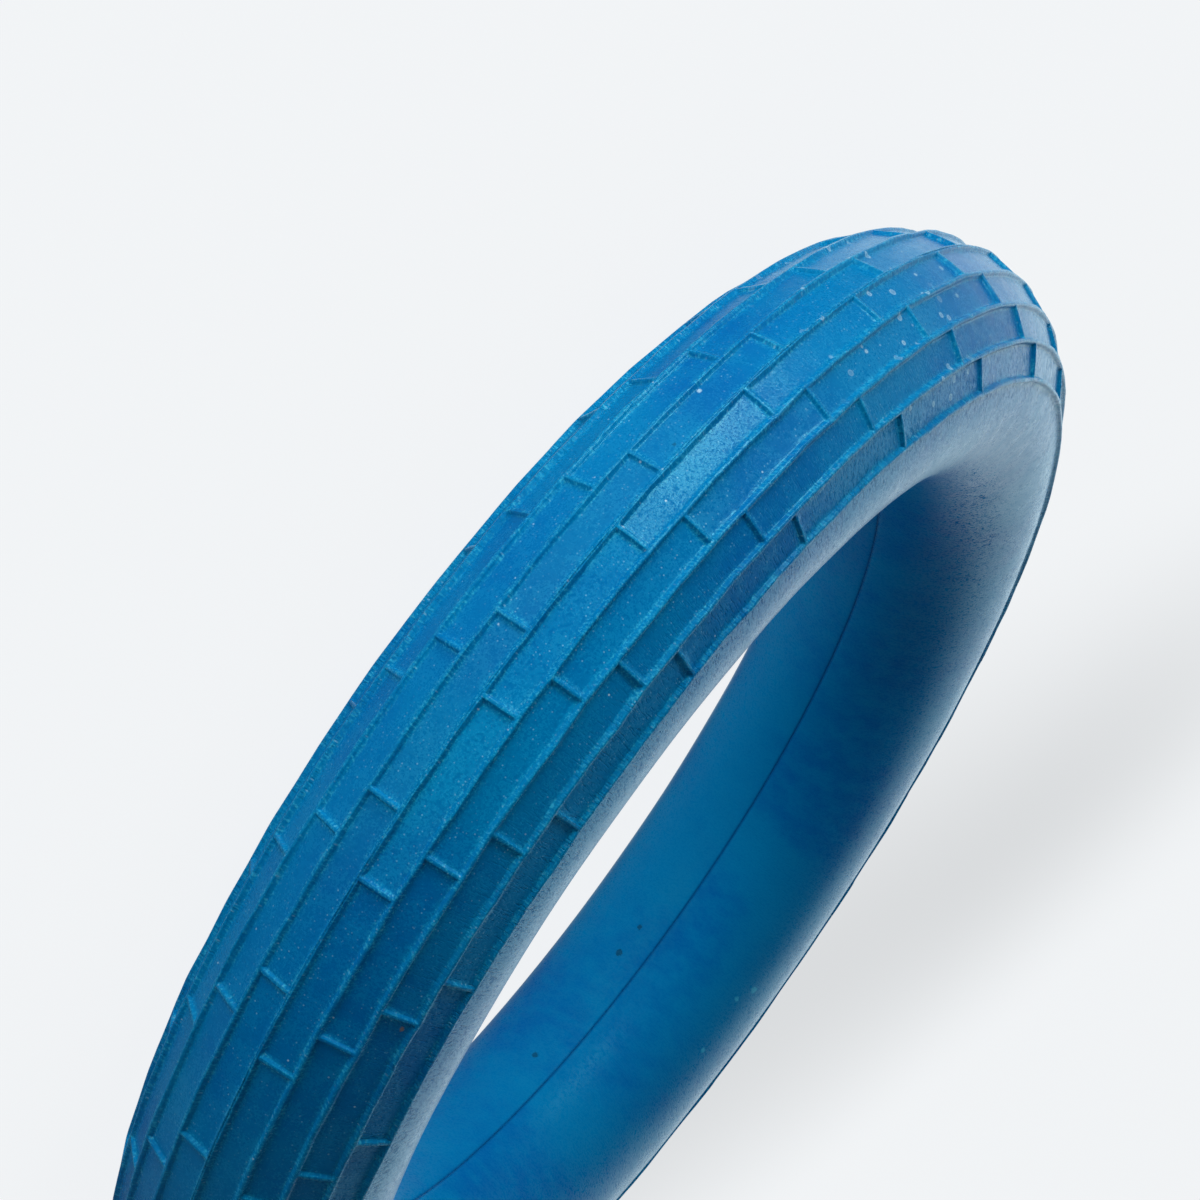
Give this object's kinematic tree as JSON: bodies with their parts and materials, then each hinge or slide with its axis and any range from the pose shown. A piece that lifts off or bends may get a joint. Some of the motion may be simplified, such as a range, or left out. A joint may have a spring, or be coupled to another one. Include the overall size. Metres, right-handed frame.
{
  "type": "ringette ring",
  "caption": "Hollow rubber ringette ring with a brick-pattern tread round its outer side and smooth sides, moulded in halves joined on the mid-plane.",
  "frame": {"origin": "centre of the ring, on its axis and its mid-plane", "axes": "+Z along the ring's axis, with the ring lying flat; +X passes between two mirrored bars of the tread beside the equator, and is the axis that turns one half moulding into the other"},
  "size_m": [0.165, 0.165, 0.0282],
  "materials": {
    "blue_rubber": "satin moulded rubber, with a fine grain and a soft grey sheen at low angles",
    "cured_cement": "dark matt cured rubber cement"
  },
  "bodies": {
    "root": {"upper_half_shell": "blue_rubber", "lower_half_shell": "blue_rubber", "outer_cement_ring": "cured_cement", "inner_cement_ring": "cured_cement"}
  },
  "joints": []
}
